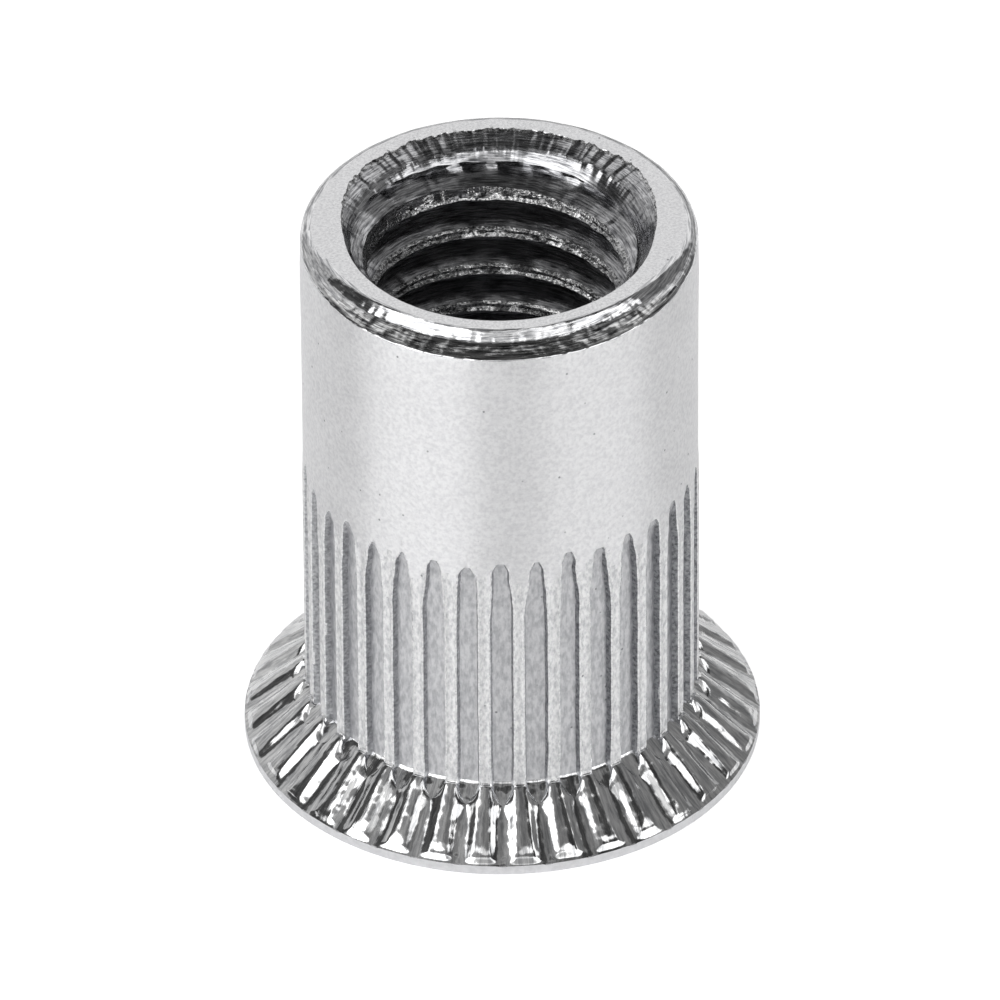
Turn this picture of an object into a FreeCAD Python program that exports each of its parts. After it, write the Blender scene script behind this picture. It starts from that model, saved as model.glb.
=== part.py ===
"""A blind rivet nut with a countersunk head and a knurled shank, cold-formed and tapped in one piece.

The nut stands on its head. Z = 0 is the flat head face, the origin is that face's centre, and +Z runs
along the axis to the open, tapped tail. The tapped stretch is drawn as a plain bore at the thread's
minor diameter. All sizes are in millimetres.
"""

import FreeCAD, Part
import os
from math import cos, radians, sin

# Tapped tail
thread_diameter = 10.0
thread_pitch = 1.5
thread_length = 9.0           # from the tail face down to the end of the narrow bore
mouth_clearance = 0.05        # how far the countersunk mouth reaches past the thread, all round
tail_edge_round = 0.5

# Overall
overall_length = 20.0
tail_wall = 1.5               # metal outside the thread

# Head: a thin upright rim, and over it a cone that carries the ridges
head_overhang = 2.05          # how far the head reaches past the shank, all round
rim_height = 0.35
cone_top_height = 2.25        # where the ridge tops meet the shank
cone_floor_height = 1.9       # where the valley floors would meet the shank's surface
ridge_end_inset = 0.25        # from the rim inwards to the upper end of a ridge's end slope
ridge_end_height = 0.15       # how far a ridge stands over the valley floor there
ridge_end_run = 0.13          # how far the end slope reaches outwards

# Relief bore on the head side, where the thin wall folds when the nut is set
relief_wall = 1.1
relief_step_height = 0.8
relief_chamfer = 0.3

# Knurl: straight grooves in the shank, each of which runs on as a valley between two ridges
groove_count = 36
groove_angle = 6.3            # degrees of the circle that one groove takes
groove_depth = 0.2
groove_wall_run = 0.08        # how far a groove's wall leans back over its depth
groove_full_height = 9.0      # full width up to here
groove_shoulder_height = 10.6 # full depth up to here
groove_top_height = 11.4      # run-out ends here
groove_top_share = 0.68       # width of the run-out as a share of the full width
valley_inner_floor = 0.04     # floor width at the groove's floor, where the valley is all but a V
valley_outer_floor = 0.8      # floor width at the ridges' ends
cutter_overshoot = 0.3        # how far the cutters reach past the metal

thread_radius = thread_diameter / 2
minor_radius = thread_radius - 0.54127 * thread_pitch
mouth_radius = thread_radius + mouth_clearance
shank_radius = thread_radius + tail_wall
head_radius = shank_radius + head_overhang
relief_radius = shank_radius - relief_wall
ridge_end_radius = head_radius - ridge_end_inset
floor_slope = (cone_floor_height - rim_height) / (head_radius - shank_radius)


def floor_height(radius):
    """Height of the valley floors, a cone through the rim's upper edge."""
    return rim_height + floor_slope * (head_radius - radius)


ridge_end_top = floor_height(ridge_end_radius) + ridge_end_height
ridge_slope = (cone_top_height - ridge_end_top) / (ridge_end_radius - shank_radius)


def ridge_height(radius):
    """Height of the ridge tops, a slightly steeper cone."""
    return cone_top_height + ridge_slope * (shank_radius - radius)


def point(radius, height):
    """A point of the turned profile, in the XZ plane."""
    return FreeCAD.Vector(radius, 0, height)


def turned_blank():
    """The body of revolution: rim, cone, shank, rounded tail, countersunk mouth and stepped bore."""
    countersink_depth = mouth_radius - minor_radius
    narrow_end = overall_length - thread_length
    lip = shank_radius - tail_edge_round
    shoulder = overall_length - tail_edge_round
    round_middle = point(lip + tail_edge_round * cos(radians(45)),
                         shoulder + tail_edge_round * sin(radians(45)))
    slope_end = ridge_end_radius + ridge_end_run
    outside = Part.makePolygon([
        point(relief_radius + relief_chamfer, 0),
        point(head_radius, 0),
        point(head_radius, rim_height),
        point(slope_end, floor_height(slope_end)),
        point(ridge_end_radius, ridge_end_top),
        point(shank_radius, cone_top_height),
        point(shank_radius, shoulder),
    ])
    tail_edge = Part.Arc(point(shank_radius, shoulder), round_middle, point(lip, overall_length)).toShape()
    inside = Part.makePolygon([
        point(lip, overall_length),
        point(mouth_radius, overall_length),
        point(minor_radius, overall_length - countersink_depth),
        point(minor_radius, narrow_end),
        point(relief_radius, narrow_end - relief_step_height),
        point(relief_radius, relief_chamfer),
        point(relief_radius + relief_chamfer, 0),
    ])
    profile = Part.Wire(outside.Edges + [tail_edge] + inside.Edges)
    return Part.Face(profile).revolve(FreeCAD.Vector(0, 0, 0), FreeCAD.Vector(0, 0, 1), 360)


def closed_outline(corners):
    """A closed wire through the corners, given as (x, y, z)."""
    vectors = [FreeCAD.Vector(*corner) for corner in corners]
    return Part.makePolygon(vectors + vectors[:1])


def groove_cutter():
    """Cuts one groove of the shank, on +X. Its upper end narrows and runs out to the surface."""
    half_width = shank_radius * sin(radians(groove_angle / 2))
    outer = shank_radius + cutter_overshoot
    lean = groove_wall_run / groove_depth

    def level(height, depth, share):
        floor = shank_radius - depth
        mouth_half = half_width * share + lean * cutter_overshoot
        floor_half = half_width * share - lean * depth
        return closed_outline([
            (floor, -floor_half, height),
            (outer, -mouth_half, height),
            (outer, mouth_half, height),
            (floor, floor_half, height),
        ])

    levels = [
        level(cone_top_height, groove_depth, 1),
        level(groove_full_height, groove_depth, 1),
        level(groove_shoulder_height, groove_depth, (1 + groove_top_share) / 2),
        level(groove_top_height, 0, groove_top_share),
    ]
    return Part.makeLoft(levels, True, True)


def valley_cutter():
    """Cuts one valley of the cone, on +X. A V at the shank, it widens and gets shallow outwards."""
    half_angle = radians(groove_angle / 2)
    inner_radius = shank_radius - groove_depth
    floor_growth = (valley_outer_floor - valley_inner_floor) / (ridge_end_radius - inner_radius)

    def section(radius):
        floor_half = (valley_inner_floor + floor_growth * (radius - inner_radius)) / 2
        edge_half = radius * sin(half_angle)
        edge = ridge_height(radius)
        return closed_outline([
            (radius, -floor_half, floor_height(radius)),
            (radius, -edge_half, edge),
            (radius, -edge_half, edge + cutter_overshoot),
            (radius, edge_half, edge + cutter_overshoot),
            (radius, edge_half, edge),
            (radius, floor_half, floor_height(radius)),
        ])

    return Part.makeLoft([section(inner_radius), section(head_radius)], True, True)


def patterned(cutter):
    """One copy of the cutter for each groove, the first one on +X."""
    step = 360 / groove_count
    copies = []
    for index in range(groove_count):
        copy = cutter.copy()
        copy.rotate(FreeCAD.Vector(0, 0, 0), FreeCAD.Vector(0, 0, 1), index * step)
        copies.append(copy)
    return copies


def rivet_nut():
    """The finished nut."""
    blank = turned_blank()
    knurled = blank.cut(patterned(groove_cutter()))
    return knurled.cut(patterned(valley_cutter()))


os.makedirs("parts", exist_ok=True)
nut = rivet_nut()
nut.exportStep("parts/rivet_nut.step")
print("solids", len(nut.Solids), "valid", nut.isValid(), "volume", round(nut.Volume, 2), "faces", len(nut.Faces))
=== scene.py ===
"""The looks of a blind rivet nut: one cold-formed, knurled and tapped piece of bright zinc-plated steel.

The nut stands on its head. Sizes are in millimetres and become metres where a mesh is placed.
"""

import random
from math import atan2, cos, degrees, pi, radians, sin, sqrt

import bpy
from mathutils import Matrix, Vector, noise


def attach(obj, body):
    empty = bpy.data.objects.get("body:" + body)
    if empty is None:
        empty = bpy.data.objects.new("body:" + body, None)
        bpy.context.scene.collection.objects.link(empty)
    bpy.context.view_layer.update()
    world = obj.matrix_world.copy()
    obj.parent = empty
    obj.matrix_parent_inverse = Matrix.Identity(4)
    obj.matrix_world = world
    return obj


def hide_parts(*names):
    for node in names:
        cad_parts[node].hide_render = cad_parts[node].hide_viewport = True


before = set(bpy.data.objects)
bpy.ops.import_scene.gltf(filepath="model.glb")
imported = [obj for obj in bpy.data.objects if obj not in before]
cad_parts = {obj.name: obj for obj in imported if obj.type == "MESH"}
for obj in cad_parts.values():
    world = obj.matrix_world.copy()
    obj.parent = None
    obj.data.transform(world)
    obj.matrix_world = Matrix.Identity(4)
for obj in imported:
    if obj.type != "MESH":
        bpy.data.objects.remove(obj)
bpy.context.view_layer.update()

MM = 0.001

# Sizes, as the solid has them, apart from the blank bore
shank_radius = 6.5
head_radius = 8.55
overall_length = 20.0
rim_height = 0.35
cone_top_height = 2.25
cone_floor_height = 1.9
relief_radius = 5.4
relief_chamfer = 0.3
relief_top = 10.2
narrow_bore_end = 11.0
mouth_radius = 5.05
thread_radius = 5.0
minor_radius = 4.188
blank_bore_radius = 4.0       # before the thread is cut
thread_pitch = 1.5

# Knurl
SECTORS = 36
SECTOR_HALF = 5.0             # degrees
COLUMNS = 16                  # columns of faces in one sector
groove_half = 3.15            # degrees, at the surface
groove_wall = 0.5             # degrees that a wall leans back
groove_depth = 0.2
burr_width = 0.45             # degrees, along a groove's edges
burr_height = 0.03
groove_narrowing = 9.0        # height where the grooves start to narrow
groove_runout = 10.3          # height where they start to get shallow
groove_top = 11.4
foot_ledge = 0.025            # the small fillet at a groove's foot
valley_half = 3.2             # degrees, from a valley's middle to a ridge's edge
flank_width = 1.6             # degrees across a ridge's flank
valley_opening = 0.23         # share of the cone at which the V opens into a floor
inner_floor_lift = 0.08       # the valleys' floors come up a little towards the shank
ridge_end_radius = 8.37
ridge_end_height = 0.11
ridge_end_run = 0.085
ridge_crown = 0.042
floor_dish = 0.025            # how far a valley's floor is dished
collar_crease = 0.05          # the crease between the shank's lands and the ridges
runout_shoulder = 0.78        # share of a groove's narrowing at which its tip starts to close
least_mouth = 0.25            # degrees, half the width of a groove that has run out
vee_foot_half = 2.9           # degrees, half the width of the floor's triangle at the shank
vee_tip_half = 0.12           # and at its point, from which it opens again
floor_opening = 7.0           # degrees that half the floor would open from there to the rim
satin_start = 10.5            # height above which the shank is satin between the grooves' tips
knurl_finish_top = 11.9

# How uneven the formed surfaces are
head_waves = 0.012
head_ripples = 0.006
tail_waves = 0.014
tail_ripples = 0.01
shank_waves = 0.004
edge_ripples = 0.03
edge_nicks = 0.025

floor_slope = (cone_floor_height - rim_height) / (head_radius - shank_radius)

# How the grooves, valleys and ridges differ from each other, as rolled metal does
draws = random.Random(11)
tip_rise = [draws.uniform(-0.3, 0.25) for _ in range(SECTORS)]
tip_share = [draws.uniform(0.5, 0.8) for _ in range(SECTORS)]
tip_roundness = [draws.uniform(1.0, 2.6) for _ in range(SECTORS)]
tip_lean = [draws.uniform(-0.35, 0.35) for _ in range(SECTORS)]
ridge_end_shift = [draws.uniform(-0.06, 0.05) for _ in range(SECTORS)]
ridge_lift = [draws.uniform(-0.02, 0.02) for _ in range(SECTORS)]
valley_shift = [draws.uniform(-0.15, 0.15) for _ in range(SECTORS)]
groove_width_change = [draws.uniform(-0.25, 0.3) for _ in range(SECTORS)]


def smooth(value, low, high):
    """0 below low, 1 above high, and an easy curve between."""
    share = min(1.0, max(0.0, (value - low) / (high - low)))
    return share * share * (3 - 2 * share)


def blend_of(first, second, share):
    """A value between two others."""
    return first + (second - first) * share


def column_offset(column, floor_half, mouth_half):
    """Degrees from a sector's middle to a column of points, so that the columns follow the knurl's edges."""
    wall = mouth_half - floor_half
    lip = min(mouth_half + burr_width, SECTOR_HALF - 0.4)
    stops = [
        0.0,
        0.5 * floor_half,
        floor_half,
        floor_half + 0.35 * wall,
        floor_half + 0.75 * wall,
        mouth_half,
        lip,
        0.5 * (lip + SECTOR_HALF),
        SECTOR_HALF,
    ]
    side = 1 if column >= 0 else -1
    return side * stops[abs(column)]


def pressed(offset, floor_half, mouth_half):
    """How far a knurl's shape is pressed in: 1 on the floor, 0 outside the mouth."""
    return min(1.0, max(0.0, (mouth_half - abs(offset)) / (mouth_half - floor_half)))


def floor_height(radius):
    """Height of the valley floors."""
    return rim_height + floor_slope * (head_radius - radius)


def ridge_height(radius, ridge):
    """Height of a ridge's top, with the short slope at its outer end."""
    end = ridge_end_radius + ridge_end_shift[ridge]
    end_top = floor_height(end) + ridge_end_height
    if radius <= end:
        rise = (cone_top_height - end_top) / (end - shank_radius)
        return end_top + rise * (end - radius) + ridge_lift[ridge] * smooth(radius, shank_radius, 7.2)
    over = (radius - end) / ridge_end_run
    foot = floor_height(radius)
    return foot + (end_top + ridge_lift[ridge] - floor_height(end)) * max(0.0, 1 - over)


def swell(height):
    """The shank is a little thicker just below the tail."""
    return 0.02 * smooth(height, 15.9, 18.4) * (1 - smooth(height, 18.4, 19.6))


def edge_wander(sector, side, height):
    """Degrees that a groove's edge strays from its straight line, most where the groove narrows."""
    amount = 0.2 + 0.4 * smooth(height, 8.6, 9.8)
    slow = noise.noise(Vector((sector * 3.7, side * 9.1, height * 0.9)))
    fast = noise.noise(Vector((sector * 5.3, side * 4.7, height * 3.1)))
    return amount * (slow + 0.5 * fast) * smooth(height, 2.4, 3.2) * (1 - smooth(height, 11.4, 11.9))


def groove_shape(height, sector):
    """Half widths in degrees of a groove's floor and mouth, and its depth, at a height."""
    top = groove_top + tip_rise[sector]
    rise = min(1.0, max(0.0, (height - groove_narrowing) / (top - groove_narrowing)))
    mouth = groove_half * blend_of(1, tip_share[sector], rise)
    mouth += groove_width_change[sector] * smooth(height, 2.4, 3.5) * (1 - rise)
    if rise > runout_shoulder:
        close = (rise - runout_shoulder) / (1 - runout_shoulder)
        mouth *= max(0.0, 1 - close ** tip_roundness[sector])
    depth = groove_depth * (1 - smooth(height, groove_runout, top + 0.05))
    mouth = max(mouth, least_mouth)
    floor = max(mouth - groove_wall, 0.4 * mouth)
    return floor, mouth, depth


def valley_section(share):
    """Half widths in degrees of a valley's floor and mouth.

    Next to the shank the floor is a triangle that narrows to a point, from which it opens outwards again.
    """
    mouth = blend_of(valley_half + 0.1, valley_half - 0.25, share)
    if share < valley_opening:
        return blend_of(vee_foot_half, vee_tip_half, share / valley_opening), mouth
    opened = (share - valley_opening) / (1 - valley_opening)
    return min(mouth - flank_width, vee_tip_half + floor_opening * opened), mouth


def ridge_beside(sector, column):
    """The number of the ridge that a column of points is nearest to."""
    return sector if column > 0 else (sector - 1) % SECTORS


def cone_point(share, sector, column):
    """A point of the head's cone. Share is 0 at the shank and 1 at the rim."""
    floor_half, mouth_half = valley_section(share)
    groove_floor, groove_mouth, _ = groove_shape(cone_top_height, sector)
    near = max(0.0, 1 - share / 0.1)
    offset = column_offset(column, blend_of(floor_half, groove_floor, near),
                           blend_of(mouth_half, groove_mouth, near))
    pull = pressed(offset, groove_floor, groove_mouth) * max(0.0, 1 - share / 0.05)
    radius = blend_of(shank_radius, head_radius, share) - (groove_depth - foot_ledge) * pull
    ridge = ridge_height(radius, ridge_beside(sector, column))
    floor = floor_height(radius) + inner_floor_lift * (1 - smooth(share, 0.3, 0.9))
    valley = pressed(offset, floor_half, mouth_half)
    height = blend_of(ridge, floor, valley)
    on_land = 1 - pressed(offset, groove_floor, groove_mouth)
    height -= collar_crease * on_land * smooth(share, 0.0, 0.012) * (1 - smooth(share, 0.02, 0.05))
    if share > valley_opening and abs(offset) < floor_half:
        height -= floor_dish * (1 - (offset / floor_half) ** 2) * smooth(share, valley_opening, 0.4)
    if abs(offset) > mouth_half:
        across = (SECTOR_HALF - abs(offset)) / (SECTOR_HALF - mouth_half)
        height += ridge_crown * (1 - across * across) * smooth(share, 0, 0.1) * (1 - smooth(share, 0.8, 0.9))
    offset += valley_shift[sector] * smooth(share, 0.05, 0.5) * valley
    return radius, offset, height


def shank_point(height, sector, column):
    """A point of the shank, down in a groove or on the land beside it."""
    floor_half, mouth_half, depth = groove_shape(height, sector)
    offset = column_offset(column, floor_half, mouth_half)
    press = pressed(offset, floor_half, mouth_half)
    burr = burr_height * (depth / groove_depth) if abs(column) == 6 else 0.0
    radius = shank_radius + swell(height) - depth * press + burr
    lean = tip_lean[sector] * smooth(height, groove_narrowing, groove_top) * (1 - smooth(height, 11.6, 12.2))
    even = 2 * SECTOR_HALF * column / COLUMNS
    offset = blend_of(offset, even, smooth(height, groove_top + 0.35, groove_top + 1.2))
    if abs(column) < 7:
        offset += lean
        side = 1 if column > 0 else -1
        offset += edge_wander(sector, side, height) * min(1.0, abs(column) / 2)
    return radius, offset, height


def foot_point(sector, column):
    """A point just above a groove's foot, where the fillet ends."""
    radius, offset, height = cone_point(0.0, sector, column)
    groove_floor, groove_mouth, _ = groove_shape(cone_top_height, sector)
    press = pressed(offset, groove_floor, groove_mouth)
    return shank_radius - groove_depth * press, offset, height + 0.02 + foot_ledge * press


tail_front_edge = [           # a small corner, a shallow shoulder, and a steeper band up to the end face
    (6.5, 19.4), (6.49, 19.43), (6.465, 19.455), (6.42, 19.475), (6.22, 19.535), (6.02, 19.595),
    (5.85, 19.64), (5.825, 19.655), (5.765, 19.725), (5.705, 19.795), (5.645, 19.867), (5.59, 19.933),
    (5.555, 19.972), (5.53, 19.993)]
tail_edge_foot = 19.39        # finishes change at these four heights
tail_shoulder_top = 19.66
lip_foot = 19.93
countersink_foot = 19.5
tail_back_round = 0.35
mouth_wear = 0.58             # how far the mouth's upper edge is worn outwards on the +Y side
mouth_wear_foot = 19.4
lip_pits = 0.018


def tail_point(step, turn):
    """A point of the tail's worked edge, which is wide on the -Y side and a small round on the +Y side."""
    front_radius, front_height = tail_front_edge[step]
    if 3 < step < 10:
        around = Vector((cos(turn), sin(turn), 0))
        front_radius += edge_ripples * noise.noise(around * 9) + edge_nicks * noise.noise(around * 31)
    angle = radians(90 * (step + 1) / len(tail_front_edge))
    back_radius = shank_radius - tail_back_round * (1 - cos(angle))
    back_height = overall_length - tail_back_round * (1 - sin(angle))
    worked = smooth(-sin(turn), -0.1, 0.95)
    return blend_of(back_radius, front_radius, worked), blend_of(back_height, front_height, worked)


def face_radius(turn):
    """Radius of a row of points on the end face, between the tail's edge and the mouth."""
    return blend_of(5.95, 5.48, smooth(-sin(turn), -0.1, 0.95))


def stations():
    """The rows of the nut's skin, in order round its section, from the head face's inner edge and back."""
    rows = [("turned", (relief_radius + relief_chamfer, 0.0))]
    rows += [("turned", (radius, 0.0)) for radius in (6.4, 7.2, 8.0, head_radius - 0.06)]
    rows += [("turned", (head_radius - 0.018, 0.018)), ("turned", (head_radius, 0.06))]
    rows += [("turned", (head_radius, 0.2)), ("turned", (head_radius, rim_height - 0.04))]
    rows += [("cone", share) for share in (0.995, 0.98, 0.965, 0.95, 0.935, 0.92, 0.905, 0.89, 0.875, 0.855)]
    rows += [("cone", 0.82 - 0.05 * step) for step in range(12)]
    rows += [("cone", share) for share in (0.23, 0.2, 0.17, 0.14, 0.11, 0.08, 0.055, 0.035, 0.015, 0.0)]
    rows += [("foot", 0.0)]
    rows += [("shank", height) for height in (2.55, 2.7, 2.95, 3.3, 3.7)]
    rows += [("shank", 4.2 + 0.5 * step) for step in range(10)]
    rows += [("shank", 9.0 + 0.1 * step) for step in range(30)]
    rows += [("shank", height) for height in (
        12.1, 12.4, 12.8, 13.3, 13.9, 14.5, 15.1, 15.7, 16.3, 16.9, 17.4, 17.9, 18.4, 18.8, 19.1, 19.35)]
    rows += [("tail", step) for step in range(len(tail_front_edge))]
    rows += [("face", overall_length)]
    rows += [("mouth", place) for place in (
        (5.07, 20.0), (5.055, 19.985), (5.04, 19.965), (5.02, 19.94), (5.0, 19.91), (4.985, 19.87),
        (4.97, 19.82), (4.95, 19.76), (4.86, 19.64), (4.76, 19.51), (4.66, 19.37), (4.56, 19.22),
        (4.47, 19.02), (4.38, 18.7), (4.25, 18.3), (4.02, 17.9))]
    rows += [("turned", (blank_bore_radius, height)) for height in (16.0, 13.0, narrow_bore_end)]
    rows += [("turned", (minor_radius + 0.6, 10.65))]
    rows += [("turned", (relief_radius, height)) for height in (relief_top, 8.0, 5.0, 2.0, relief_chamfer)]
    rows += [("turned", (relief_radius + relief_chamfer, 0.0))]
    return rows


def unevenness(radius, turn, height):
    """How far the formed surface stands out or in at a place, in millimetres of its radius."""
    x = radius * cos(turn)
    y = radius * sin(turn)
    if height < 2.3:
        place = Vector((x, y, height))
        return head_waves * noise.noise(place * 2.2) + head_ripples * noise.noise(place * 7)
    if height > 19.35 and radius > 5.5:
        slow = noise.noise(Vector((x, y, height)) * 0.9)
        fast = noise.noise(Vector((x, y, height * 2)) * 5.5)
        return (tail_waves * slow + tail_ripples * fast) * smooth(radius, 5.5, 5.7)
    return shank_waves * noise.noise(Vector((x, y, height * 0.5)) * 1.1)


def mouth_raggedness(turn, height):
    """How far the countersink's upper edge is torn outwards, most of all on the +Y side."""
    place = Vector((cos(turn), sin(turn), 0)) * mouth_radius
    worn = smooth(sin(turn), -0.15, 0.75)
    near_top = smooth(height, 19.72, 19.99)
    torn = noise.noise(place * 1.4) + 0.8 * noise.noise(place * 4.3) + 0.5 * noise.noise(place * 9.0)
    return (0.01 + 0.1 * worn) * torn * smooth(height, mouth_wear_foot, 19.9) + mouth_wear * worn * near_top


def place_skin(grid, rows):
    """Rolls a flat grid round the axis: its columns go round, its rows follow the section."""
    columns = SECTORS * COLUMNS
    for vertex in grid.data.vertices:
        column = round((vertex.co.x + 0.5) * columns)
        row = round((vertex.co.y + 0.5) * (len(rows) - 1))
        sector = (column + COLUMNS // 2) // COLUMNS % SECTORS
        beside = (column + COLUMNS // 2) % COLUMNS - COLUMNS // 2
        middle = sector * 2 * SECTOR_HALF
        kind, value = rows[row]
        if kind == "cone":
            radius, offset, height = cone_point(value, sector, beside)
        elif kind == "foot":
            radius, offset, height = foot_point(sector, beside)
        elif kind == "shank":
            radius, offset, height = shank_point(value, sector, beside)
        else:
            offset = 2 * SECTOR_HALF * beside / COLUMNS
            if kind == "tail":
                radius, height = tail_point(value, radians(middle + offset))
            elif kind == "face":
                radius = face_radius(radians(middle + offset))
                height = value
            else:
                radius, height = value
            if kind == "mouth" and height > mouth_wear_foot:
                around = radians(middle + offset)
                radius += mouth_raggedness(around, height)
                if height < overall_length:
                    pits = noise.noise(Vector((cos(around) * 40, sin(around) * 40, radius * 9)))
                    height += lip_pits * pits * smooth(sin(around), -0.15, 0.6)
                    height = min(height, overall_length - 0.005)
        turn = radians(middle + offset)
        if kind in ("cone", "foot", "shank", "tail") or (kind == "turned" and 0.3 < height and radius > 5.5):
            radius += unevenness(radius, turn, height)
        vertex.co = Vector((radius * cos(turn), radius * sin(turn), height)) * MM


def tidy_mesh(piece):
    """Merges the seam of a rolled grid and turns all its faces outwards."""
    bpy.ops.object.select_all(action="DESELECT")
    bpy.context.view_layer.objects.active = piece
    piece.select_set(True)
    bpy.ops.object.mode_set(mode="EDIT")
    bpy.ops.mesh.select_all(action="SELECT")
    bpy.ops.mesh.remove_doubles(threshold=0.0005 * MM)
    bpy.ops.mesh.normals_make_consistent(inside=False)
    bpy.ops.object.mode_set(mode="OBJECT")


def rolled_nut():
    """The nut's whole skin with its knurl, and with a bore that is still too narrow."""
    rows = stations()
    bpy.ops.object.select_all(action="DESELECT")
    bpy.ops.mesh.primitive_grid_add(x_subdivisions=SECTORS * COLUMNS, y_subdivisions=len(rows) - 1, size=1)
    nut = bpy.context.object
    nut.name = "rivet_nut_body"
    place_skin(nut, rows)
    tidy_mesh(nut)
    return nut


# Thread
TAP_COLUMNS = 264             # columns of faces in one turn
TAP_TURNS = 9
tap_start = 9.0
far_crest = 16.82             # height of a crest on +Y
crest_height = far_crest - thread_pitch / 4
CREST_ROWS = 6                # rows of the tap's form that make the nut's torn crest
crest_tear = 0.05             # how far a crest is torn, in millimetres and in shares of the pitch
crest_drift = 0.018
start_tear = 0.09             # and how much more the thread's start is
start_drift = 0.05
tap_form = [                  # share of the pitch from a crest's middle, and radius there
    (-0.14, minor_radius + 0.08),
    (-0.095, minor_radius - 0.01),
    (-0.04, minor_radius + 0.1),
    (0.03, minor_radius + 0.11),
    (0.09, minor_radius - 0.01),
    (0.135, minor_radius + 0.08),
    (0.25, minor_radius + 0.37),
    (0.35, minor_radius + 0.63),
    (0.4375, thread_radius),
    (0.5625, thread_radius),
    (0.65, minor_radius + 0.63),
    (0.75, minor_radius + 0.37),
    (0.86, minor_radius + 0.08),
]


def rolled_tap():
    """The screw-shaped body that cuts the thread: right-handed, its grooves are the nut's crests."""
    rows = len(tap_form) - 1
    columns = TAP_COLUMNS * TAP_TURNS
    bpy.ops.object.select_all(action="DESELECT")
    bpy.ops.mesh.primitive_grid_add(x_subdivisions=columns, y_subdivisions=rows, size=1)
    tap = bpy.context.object
    first_crest = crest_height - thread_pitch * round((crest_height - tap_start) / thread_pitch)
    for vertex in tap.data.vertices:
        column = round((vertex.co.x + 0.5) * columns)
        row = round((vertex.co.y + 0.5) * rows)
        share, radius = tap_form[row]
        turns = column / TAP_COLUMNS
        turn = 2 * pi * turns
        along = turns
        if row == rows:
            row = 0
            along = turns + 1
        torn_start = smooth(first_crest + thread_pitch * (turns + share), 17.9, 18.4)
        place = Vector((cos(turn) * 4.2, sin(turn) * 4.2, along * 3 + row * 5.3))
        if row < CREST_ROWS:
            radius += crest_tear * noise.noise(place * 3.5)
            share += crest_drift * noise.noise(place * 2.1)
        radius += start_tear * torn_start * noise.noise(place * 2.6)
        share += start_drift * torn_start * noise.noise(place * 1.9)
        height = first_crest + thread_pitch * (turns + share)
        vertex.co = Vector((radius * cos(turn), radius * sin(turn), height)) * MM
    close_tap(tap)
    return tap


def close_tap(tap):
    """Joins the turns of the tap and closes its two ends on the axis."""
    tidy_mesh(tap)
    middle = (tap_start + thread_pitch * TAP_TURNS / 2) * MM
    for top in (False, True):
        bpy.ops.object.mode_set(mode="EDIT")
        bpy.ops.mesh.select_mode(type="VERT")
        bpy.ops.mesh.select_all(action="DESELECT")
        bpy.ops.mesh.select_non_manifold()
        bpy.ops.object.mode_set(mode="OBJECT")
        for vertex in tap.data.vertices:
            if (vertex.co.z > middle) != top:
                vertex.select = False
        bpy.ops.object.mode_set(mode="EDIT")
        bpy.ops.mesh.extrude_region()
        bpy.ops.mesh.merge(type="CENTER")
        bpy.ops.object.mode_set(mode="OBJECT")
    tidy_mesh(tap)


def apply_cut(nut, tool):
    """Cuts the tool's shape out of the nut and deletes the tool."""
    cut = nut.modifiers.new("thread", "BOOLEAN")
    cut.operation = "DIFFERENCE"
    cut.solver = "EXACT"
    cut.object = tool
    bpy.ops.object.select_all(action="DESELECT")
    bpy.context.view_layer.objects.active = nut
    nut.select_set(True)
    bpy.ops.object.modifier_apply(modifier=cut.name)
    bpy.data.objects.remove(tool)


def add_node(tree, kind, inputs=None, **settings):
    """Adds a node with its settings. Inputs are values or the sockets that they are linked to."""
    made = tree.nodes.new(kind)
    for name, value in settings.items():
        setattr(made, name, value)
    for key, value in (inputs or {}).items():
        if isinstance(value, bpy.types.NodeSocket):
            tree.links.new(value, made.inputs[key])
        else:
            made.inputs[key].default_value = value
    return made


def linear(hex_colour):
    """A colour written as sRGB hex, as the linear values that a node takes."""
    channels = [int(hex_colour[place:place + 2], 16) / 255 for place in (1, 3, 5)]
    straight = [value / 12.92 if value <= 0.04045 else ((value + 0.055) / 1.055) ** 2.4
                for value in channels]
    return (*straight, 1.0)


# Sizes of the marks that several finishes share, in millimetres
cloud_mm = 1.6                # slow change from duller to glossier
dent_mm = 0.4
cone_middle_radius = 7.5
speck_colour = "#8a8b8e"


def round_the_axis(tree, place):
    """Coordinates for marks that run round the axis: radius, height along the thread, and a slow turn."""
    parts = add_node(tree, "ShaderNodeSeparateXYZ", {0: place})
    flat = add_node(tree, "ShaderNodeCombineXYZ", {0: parts.outputs[0], 1: parts.outputs[1]})
    radius = add_node(tree, "ShaderNodeVectorMath", {0: flat.outputs[0]}, operation="LENGTH")
    turn = add_node(tree, "ShaderNodeMath", {0: parts.outputs[1], 1: parts.outputs[0]}, operation="ARCTAN2")
    lead = -thread_pitch * MM / (2 * pi)
    rise = add_node(tree, "ShaderNodeMath", {0: turn.outputs[0], 1: lead, 2: parts.outputs[2]},
                    operation="MULTIPLY_ADD")
    slow = add_node(tree, "ShaderNodeMath", {0: turn.outputs[0], 1: 0.4 * MM}, operation="MULTIPLY")
    return add_node(tree, "ShaderNodeCombineXYZ",
                    {0: radius.outputs["Value"], 1: slow.outputs[0], 2: rise.outputs[0]}).outputs[0]


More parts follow.
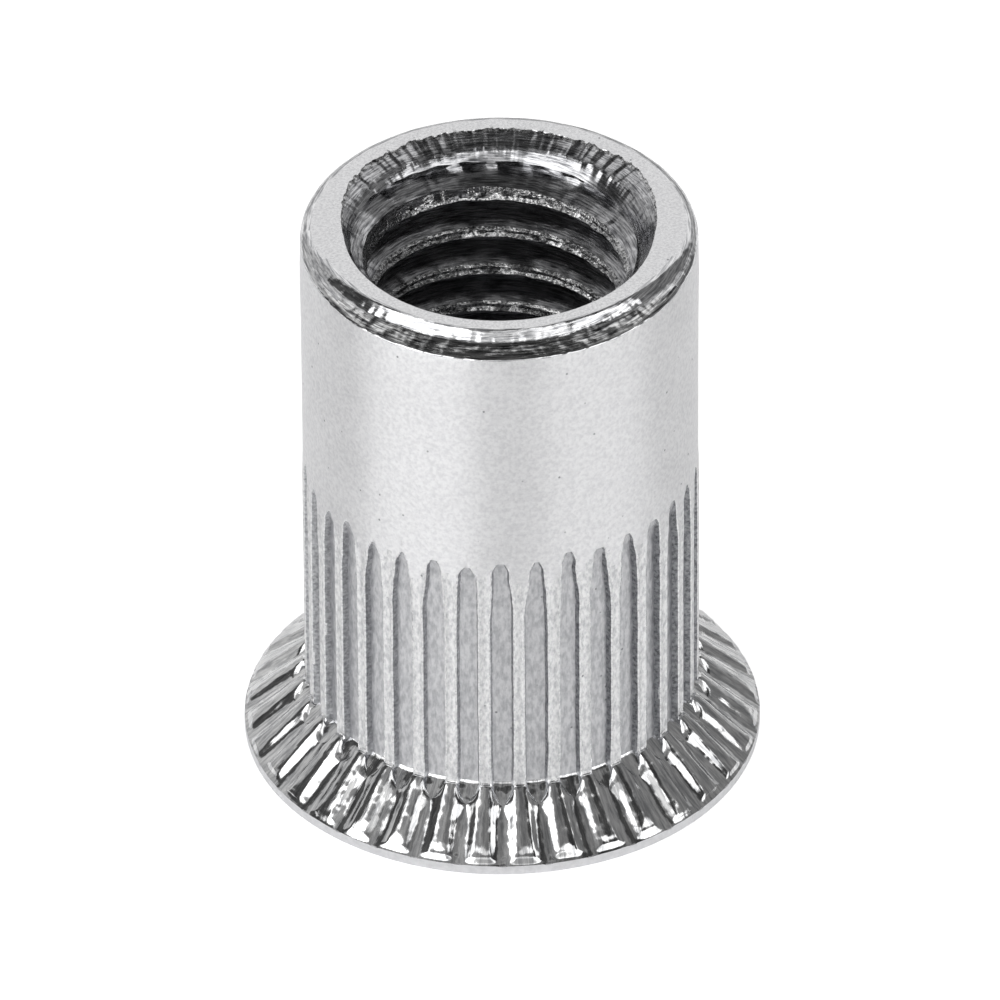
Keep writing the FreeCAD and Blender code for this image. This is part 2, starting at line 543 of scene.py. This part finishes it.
def out_from_axis(tree, place):
    """Coordinates for marks that run outwards on the cone: the way from the axis, and a slow radius."""
    parts = add_node(tree, "ShaderNodeSeparateXYZ", {0: place})
    flat = add_node(tree, "ShaderNodeCombineXYZ", {0: parts.outputs[0], 1: parts.outputs[1]})
    radius = add_node(tree, "ShaderNodeVectorMath", {0: flat.outputs[0]}, operation="LENGTH")
    way = add_node(tree, "ShaderNodeVectorMath", {0: flat.outputs[0]}, operation="NORMALIZE")
    ring = add_node(tree, "ShaderNodeVectorMath", {0: way.outputs[0], "Scale": cone_middle_radius * MM},
                    operation="SCALE")
    slow = add_node(tree, "ShaderNodeMath", {0: radius.outputs["Value"], 1: 0.22}, operation="MULTIPLY")
    lift = add_node(tree, "ShaderNodeCombineXYZ", {2: slow.outputs[0]})
    return add_node(tree, "ShaderNodeVectorMath", {0: ring.outputs[0], 1: lift.outputs[0]},
                    operation="ADD").outputs[0]


def zinc(name, light, dark, roughness, spread, grain_mm, grain_depth, stretch=(1, 1, 1), anisotropy=0.0,
         speck_mm=0.0, dent_depth=0.0, marks=None):
    """Bright zinc plating on formed steel, which is a bare metal.

    Its grain of a light and a dark tone has the given size and depth, and may be stretched, or follow the
    marks of the tool that made the face. Roughness changes slowly, by the spread either way. Some finishes
    have small dark specks that far apart, dents, or the stretched gloss of drawn metal.
    """
    material = bpy.data.materials.new(name)
    material.use_nodes = True
    tree = material.node_tree
    shader = tree.nodes["Principled BSDF"]
    shader.inputs["Metallic"].default_value = 1.0
    place = add_node(tree, "ShaderNodeTexCoord")
    source = marks(tree, place.outputs["Object"]) if marks else place.outputs["Object"]
    stretched = add_node(tree, "ShaderNodeMapping", {"Vector": source, "Scale": stretch})
    grain = add_node(tree, "ShaderNodeTexNoise",
                     {"Vector": stretched.outputs[0], "Scale": 1 / (grain_mm * MM),
                      "Detail": 4.0, "Roughness": 0.6})
    clouds = add_node(tree, "ShaderNodeTexNoise",
                      {"Vector": place.outputs["Object"], "Scale": 1 / (cloud_mm * MM), "Detail": 3.0})
    pick = add_node(tree, "ShaderNodeMapRange",
                    {"Value": grain.outputs[0], "From Min": 0.35, "From Max": 0.62}, clamp=True)
    tone = add_node(tree, "ShaderNodeMix", {0: pick.outputs[0], 6: linear(dark), 7: linear(light)},
                    data_type="RGBA")
    colour = tone.outputs[2]
    if speck_mm:
        cells = add_node(tree, "ShaderNodeTexVoronoi",
                         {"Vector": place.outputs["Object"], "Scale": 1 / (speck_mm * MM)})
        near = add_node(tree, "ShaderNodeMapRange",
                        {"Value": cells.outputs["Distance"], "From Min": 0.03, "From Max": 0.07}, clamp=True)
        colour = add_node(tree, "ShaderNodeMix", {0: near.outputs[0], 6: linear(speck_colour), 7: colour},
                          data_type="RGBA").outputs[2]
    tree.links.new(colour, shader.inputs["Base Color"])
    rough = add_node(tree, "ShaderNodeMapRange",
                     {"Value": clouds.outputs[0], "From Min": 0.3, "From Max": 0.7,
                      "To Min": roughness + spread, "To Max": roughness - spread})
    tree.links.new(rough.outputs[0], shader.inputs["Roughness"])
    bump = add_node(tree, "ShaderNodeBump",
                    {"Height": grain.outputs[0], "Strength": 1.0, "Distance": grain_depth * MM})
    if dent_depth:
        dents = add_node(tree, "ShaderNodeTexNoise",
                         {"Vector": place.outputs["Object"], "Scale": 1 / (dent_mm * MM), "Detail": 1.0})
        bump = add_node(tree, "ShaderNodeBump",
                        {"Height": dents.outputs[0], "Strength": 1.0, "Distance": dent_depth * MM,
                         "Normal": bump.outputs[0]})
    tree.links.new(bump.outputs[0], shader.inputs["Normal"])
    if anisotropy:
        shader.inputs["Anisotropic"].default_value = anisotropy
        shader.inputs["Anisotropic Rotation"].default_value = 0.25
        around = add_node(tree, "ShaderNodeTangent", direction_type="RADIAL", axis="Z")
        tree.links.new(around.outputs[0], shader.inputs["Tangent"])
    return material


def knurl_finish(centre):
    """Which part of the knurled shank a face is on."""
    height = centre.z / MM
    turn = degrees(atan2(centre.y, centre.x)) + SECTOR_HALF
    sector = int(turn // (2 * SECTOR_HALF)) % SECTORS
    offset = turn % (2 * SECTOR_HALF) - SECTOR_HALF
    side = 1 if offset > 0 else -1
    floor_half, mouth_half, depth = groove_shape(height, sector)
    lean = tip_lean[sector] * smooth(height, groove_narrowing, groove_top)
    offset = abs(offset - lean - edge_wander(sector, side, height))
    fade = satin_start + 0.8 * noise.noise(Vector((turn * 0.35, height * 2.5, 1.7)))
    if depth < 0.02 or mouth_half < 0.3:
        return "shank" if height > fade else "land"
    if offset < floor_half:
        return "groove"
    if offset < mouth_half:
        # A groove's two walls are painted with shade, darker in the corner on one side than on the other
        return "corner" if side > 0 else "wall"
    if offset < mouth_half + burr_width:
        return "burr"
    return "shank" if height > fade else "land"


def finish_of(centre, normal):
    """Which of the nut's finishes a face has, by where it is, in millimetres."""
    radius = sqrt(centre.x ** 2 + centre.y ** 2) / MM
    height = centre.z / MM
    outward = normal.x * centre.x + normal.y * centre.y > 0
    if height > overall_length - 0.001:
        return "flat"
    if outward and height > tail_edge_foot and normal.z > 0.2:
        return "shoulder" if normal.z > 0.8 and height < tail_shoulder_top else "edge"
    if not outward and radius < 5.9 and height > lip_foot:
        return "lip"
    if not outward and radius < 5.9 and height > countersink_foot:
        return "thread"
    if radius < 5.2 and height > narrow_bore_end - 0.5:
        return "crest" if radius < minor_radius + 0.13 else "thread"
    if radius < 5.75:
        return "bore"
    if height < rim_height and radius > 8.4:
        return "rim"
    if height < 2.5 and radius > 6.2 and normal.z > 0.3:
        return "head"
    return knurl_finish(centre) if height < knurl_finish_top else "shank"


def paint(nut):
    """Gives each face its finish.

    The plating's real grain is a few hundredths of a millimetre at most, too fine to show. It is drawn at
    0.06 to 0.25 mm, which is as coarse as it needs to be.
    """
    finishes = {
        # Zinc on drawn steel: a soft satin with one long upright highlight, and a few dark pinholes
        "shank": zinc("satin_zinc_on_drawn_steel", "#fbfbfc", "#e8e8ea", 0.38, 0.03, 0.14, 0.0025,
                      anisotropy=0.9, speck_mm=0.7),
        # Lands that the knurling rolls have squeezed up: as white as the shank, but mottled
        "land": zinc("zinc_on_knurled_lands", "#ffffff", "#d2d3d5", 0.34, 0.04, 0.12, 0.009,
                     stretch=(1, 1, 0.5), anisotropy=0.85, speck_mm=0.8),
        # Floors that the rolls have pressed in: greyer and duller, with short upright streaks
        "groove": zinc("zinc_in_pressed_grooves", "#dcdcde", "#b6b7ba", 0.38, 0.05, 0.13, 0.006,
                       stretch=(1, 1, 0.4), anisotropy=0.7, speck_mm=0.8),
        # The corner on one side of a groove: a thin dark line of painted shade, darker than on the other
        # side
        "corner": zinc("painted_shade_in_groove_corners", "#b2b3b6", "#6e6f73", 0.4, 0.05, 0.12, 0.006),
        # The wall on its other side: a fainter grey line of painted shade
        "wall": zinc("faint_painted_shade_on_groove_walls", "#d6d7d9", "#9c9da1", 0.4, 0.05, 0.12, 0.006),
        # The burr along a groove's edge, rubbed bright: a broken white line
        "burr": zinc("bright_zinc_on_groove_burrs", "#ffffff", "#d4d5d7", 0.28, 0.05, 0.12, 0.01),
        # The cone as the die has pressed it: nearly a mirror, wavy, with fine streaks towards the rim
        "head": zinc("glossy_zinc_on_pressed_head", "#ffffff", "#bfc0c2", 0.085, 0.025, 0.13, 0.0055,
                     dent_depth=0.018, marks=out_from_axis),
        # The rolled rim: an even pale satin
        "rim": zinc("zinc_on_rolled_rim", "#ececee", "#e0e0e2", 0.3, 0.03, 0.25, 0.002),
        # The tail's edge, rubbed bright all round: white glints in long streaks that follow it
        "edge": zinc("glossy_zinc_on_worked_edge", "#fcfcfd", "#9c9da0", 0.1, 0.03, 0.06, 0.006,
                     dent_depth=0.025, marks=round_the_axis),
        # The shoulder under it, scored round the axis, with light flecks and streaks; its dark tone is
        # painted shade
        "shoulder": zinc("pitted_zinc_with_painted_shade_on_tail_shoulder", "#ffffff", "#4a4b4e", 0.12, 0.04, 0.07, 0.009,
                         dent_depth=0.04, marks=round_the_axis),
        # The end face, cut flat: a smooth bright grey with pinholes
        "flat": zinc("zinc_on_faced_end", "#f4f4f5", "#dedee0", 0.24, 0.02, 0.09, 0.002,
                     speck_mm=0.7),
        # The mouth's torn edge: glossy, a ragged line of light flecks and of dark flecks that are painted
        # shade
        "lip": zinc("torn_mouth_edge_with_painted_shade", "#f4f4f5", "#2c2d30", 0.13, 0.04, 0.12, 0.02,
                    dent_depth=0.035),
        # Thread crests torn by the tap: sparkling white crumbs on a near-black tone that is painted shade in
        # the bore
        "crest": zinc("torn_thread_crests_with_painted_shade", "#ffffff", "#3c3d40", 0.15, 0.04, 0.1, 0.03),
        # Thread flanks and the countersink: glossy, with fine lines along the thread, and dark from painted
        # shade in the bore and its mouth
        "thread": zinc("tapped_thread_with_painted_shade", "#dcdcde", "#606164", 0.17, 0.04, 0.06, 0.006,
                       dent_depth=0.008, marks=round_the_axis),
        # The bore on the head side, which the photo doesn't show: a dull even grey
        "bore": zinc("dull_zinc_in_the_bore", "#c8c8ca", "#8f9093", 0.4, 0.05, 0.12, 0.006),
    }
    names = list(finishes)
    nut.data.materials.clear()
    for name in names:
        nut.data.materials.append(finishes[name])
    for face in nut.data.polygons:
        face.material_index = names.index(finish_of(face.center, face.normal))


def soft_window(tree, value, low, high, edge):
    """A socket that is 1 where the value is between low and high, with soft edges, and 0 elsewhere."""
    up = add_node(tree, "ShaderNodeMapRange",
                  {"Value": value, "From Min": low - edge, "From Max": low + edge},
                  interpolation_type="SMOOTHSTEP")
    down = add_node(tree, "ShaderNodeMapRange",
                    {"Value": value, "From Min": high - edge, "From Max": high + edge,
                     "To Min": 1.0, "To Max": 0.0},
                    interpolation_type="SMOOTHSTEP")
    return add_node(tree, "ShaderNodeMath", {0: up.outputs[0], 1: down.outputs[0]},
                    operation="MULTIPLY").outputs[0]


# The room round the nut: azimuth range, elevation range, softness in degrees, and brightness
ROOM_LEVEL = 0.8
LEFT_SOFTBOX = 2.1
RIGHT_SOFTBOX = 1.5
room_parts = [
    (-200, 200, 68, 95, 3, 0.06),
    (-200, -134, -5, 22, 5, 0.55),
    (134, 200, -5, 22, 5, 0.42),
    (-200, -134, 59, 95, 3, 0.06),
    (134, 200, 59, 95, 3, 0.06),
    (-20, 60, 51, 68, 2, 0.18),
    (-14, 24, -5, 32, 5, 0.42),
    (-14, 24, 32, 51, 4, 0.75),
    (-109, -79, -5, 68, 3, 0.07),
    (-136, -109, 18, 68, 5, 0.46),
    (-136, -109, -5, 18, 5, 0.45),
    (44, 80, 40, 68, 4, 0.05),
    (76, 134, -5, 68, 4, 0.2),
    (-73, -15, 4, 51, 2, LEFT_SOFTBOX),
    (-80, -12, 50, 68, 3, 0.3),
    (26, 82, 4, 40, 2.5, RIGHT_SOFTBOX),
    (18, 46, 38, 50, 2.5, RIGHT_SOFTBOX),
]


def room():
    """The world: a pale room with darker parts for the nut and the floor. The camera sees white."""
    world = bpy.data.worlds.new("room")
    bpy.context.scene.world = world
    world.use_nodes = True
    tree = world.node_tree
    tree.nodes.clear()
    place = add_node(tree, "ShaderNodeTexCoord")
    way = add_node(tree, "ShaderNodeSeparateXYZ", {0: place.outputs["Generated"]})
    toward = add_node(tree, "ShaderNodeMath", {0: way.outputs[1], 1: -1.0}, operation="MULTIPLY")
    turn = add_node(tree, "ShaderNodeMath", {0: way.outputs[0], 1: toward.outputs[0]}, operation="ARCTAN2")
    azimuth = add_node(tree, "ShaderNodeMath", {0: turn.outputs[0]}, operation="DEGREES").outputs[0]
    lift = add_node(tree, "ShaderNodeMath", {0: way.outputs[2]}, operation="ARCSINE")
    elevation = add_node(tree, "ShaderNodeMath", {0: lift.outputs[0]}, operation="DEGREES").outputs[0]
    level = add_node(tree, "ShaderNodeValue")
    level.outputs[0].default_value = ROOM_LEVEL
    level = level.outputs[0]
    for left, right, low, high, edge, brightness in room_parts:
        across = soft_window(tree, azimuth, left, right, edge)
        upward = soft_window(tree, elevation, low, high, edge)
        both = add_node(tree, "ShaderNodeMath", {0: across, 1: upward}, operation="MULTIPLY")
        level = add_node(tree, "ShaderNodeMix", {0: both.outputs[0], 2: level, 3: brightness}).outputs[0]
    seen = add_node(tree, "ShaderNodeLightPath")
    shown = add_node(tree, "ShaderNodeMix", {0: seen.outputs["Is Camera Ray"], 2: level, 3: 1.0})
    light = add_node(tree, "ShaderNodeBackground", {"Color": (1, 1, 1, 1), "Strength": shown.outputs[0]})
    out = add_node(tree, "ShaderNodeOutputWorld")
    tree.links.new(light.outputs[0], out.inputs["Surface"])


FLOOR_GLOW = 0.22
FLOOR_SEEN_GLOW = 0.42        # added where the camera sees the floor, so that it looks white


def pale_floor():
    """A wide white floor that keeps the nut's faint shadow."""
    bpy.ops.object.select_all(action="DESELECT")
    bpy.ops.mesh.primitive_plane_add(size=3, location=(0, 0, -0.01 * MM))
    floor = bpy.context.object
    floor.name = "floor"
    material = bpy.data.materials.new("white_paper")
    material.use_nodes = True
    tree = material.node_tree
    shader = tree.nodes["Principled BSDF"]
    shader.inputs["Base Color"].default_value = linear("#fafafa")
    shader.inputs["Roughness"].default_value = 0.9
    shader.inputs["Specular IOR Level"].default_value = 0.1
    shader.inputs["Emission Color"].default_value = (1, 1, 1, 1)
    seen = add_node(tree, "ShaderNodeLightPath")
    glow = add_node(tree, "ShaderNodeMath",
                    {0: seen.outputs["Is Camera Ray"], 1: FLOOR_SEEN_GLOW, 2: FLOOR_GLOW},
                    operation="MULTIPLY_ADD")
    tree.links.new(glow.outputs[0], shader.inputs["Emission Strength"])
    floor.data.materials.append(material)


def photo_camera():
    """A long lens from far off, at the photograph's height and tilt."""
    distance = 650 * MM
    elevation = radians(36.63)
    roll = radians(-0.37)
    aim = Vector((0, 0, 9.0 * MM))
    data = bpy.data.cameras.new("camera")
    data.sensor_width = 36.0
    data.lens = 711.0
    data.clip_end = 5.0
    data.shift_x = -0.0008
    camera = bpy.data.objects.new("camera", data)
    bpy.context.scene.collection.objects.link(camera)
    way = Vector((0, -cos(elevation), sin(elevation)))
    camera.location = aim + way * distance
    facing = (-way).to_track_quat("-Z", "Y").to_matrix().to_4x4()
    camera.rotation_euler = (facing @ Matrix.Rotation(roll, 4, "Z")).to_euler()
    bpy.context.scene.camera = camera


nut = rolled_nut()
apply_cut(nut, rolled_tap())
tidy_mesh(nut)
paint(nut)
bpy.ops.object.shade_smooth_by_angle(angle=radians(28))
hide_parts("rivet_nut")
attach(nut, "root")

room()
pale_floor()
photo_camera()
bpy.context.scene.view_settings.view_transform = "Standard"
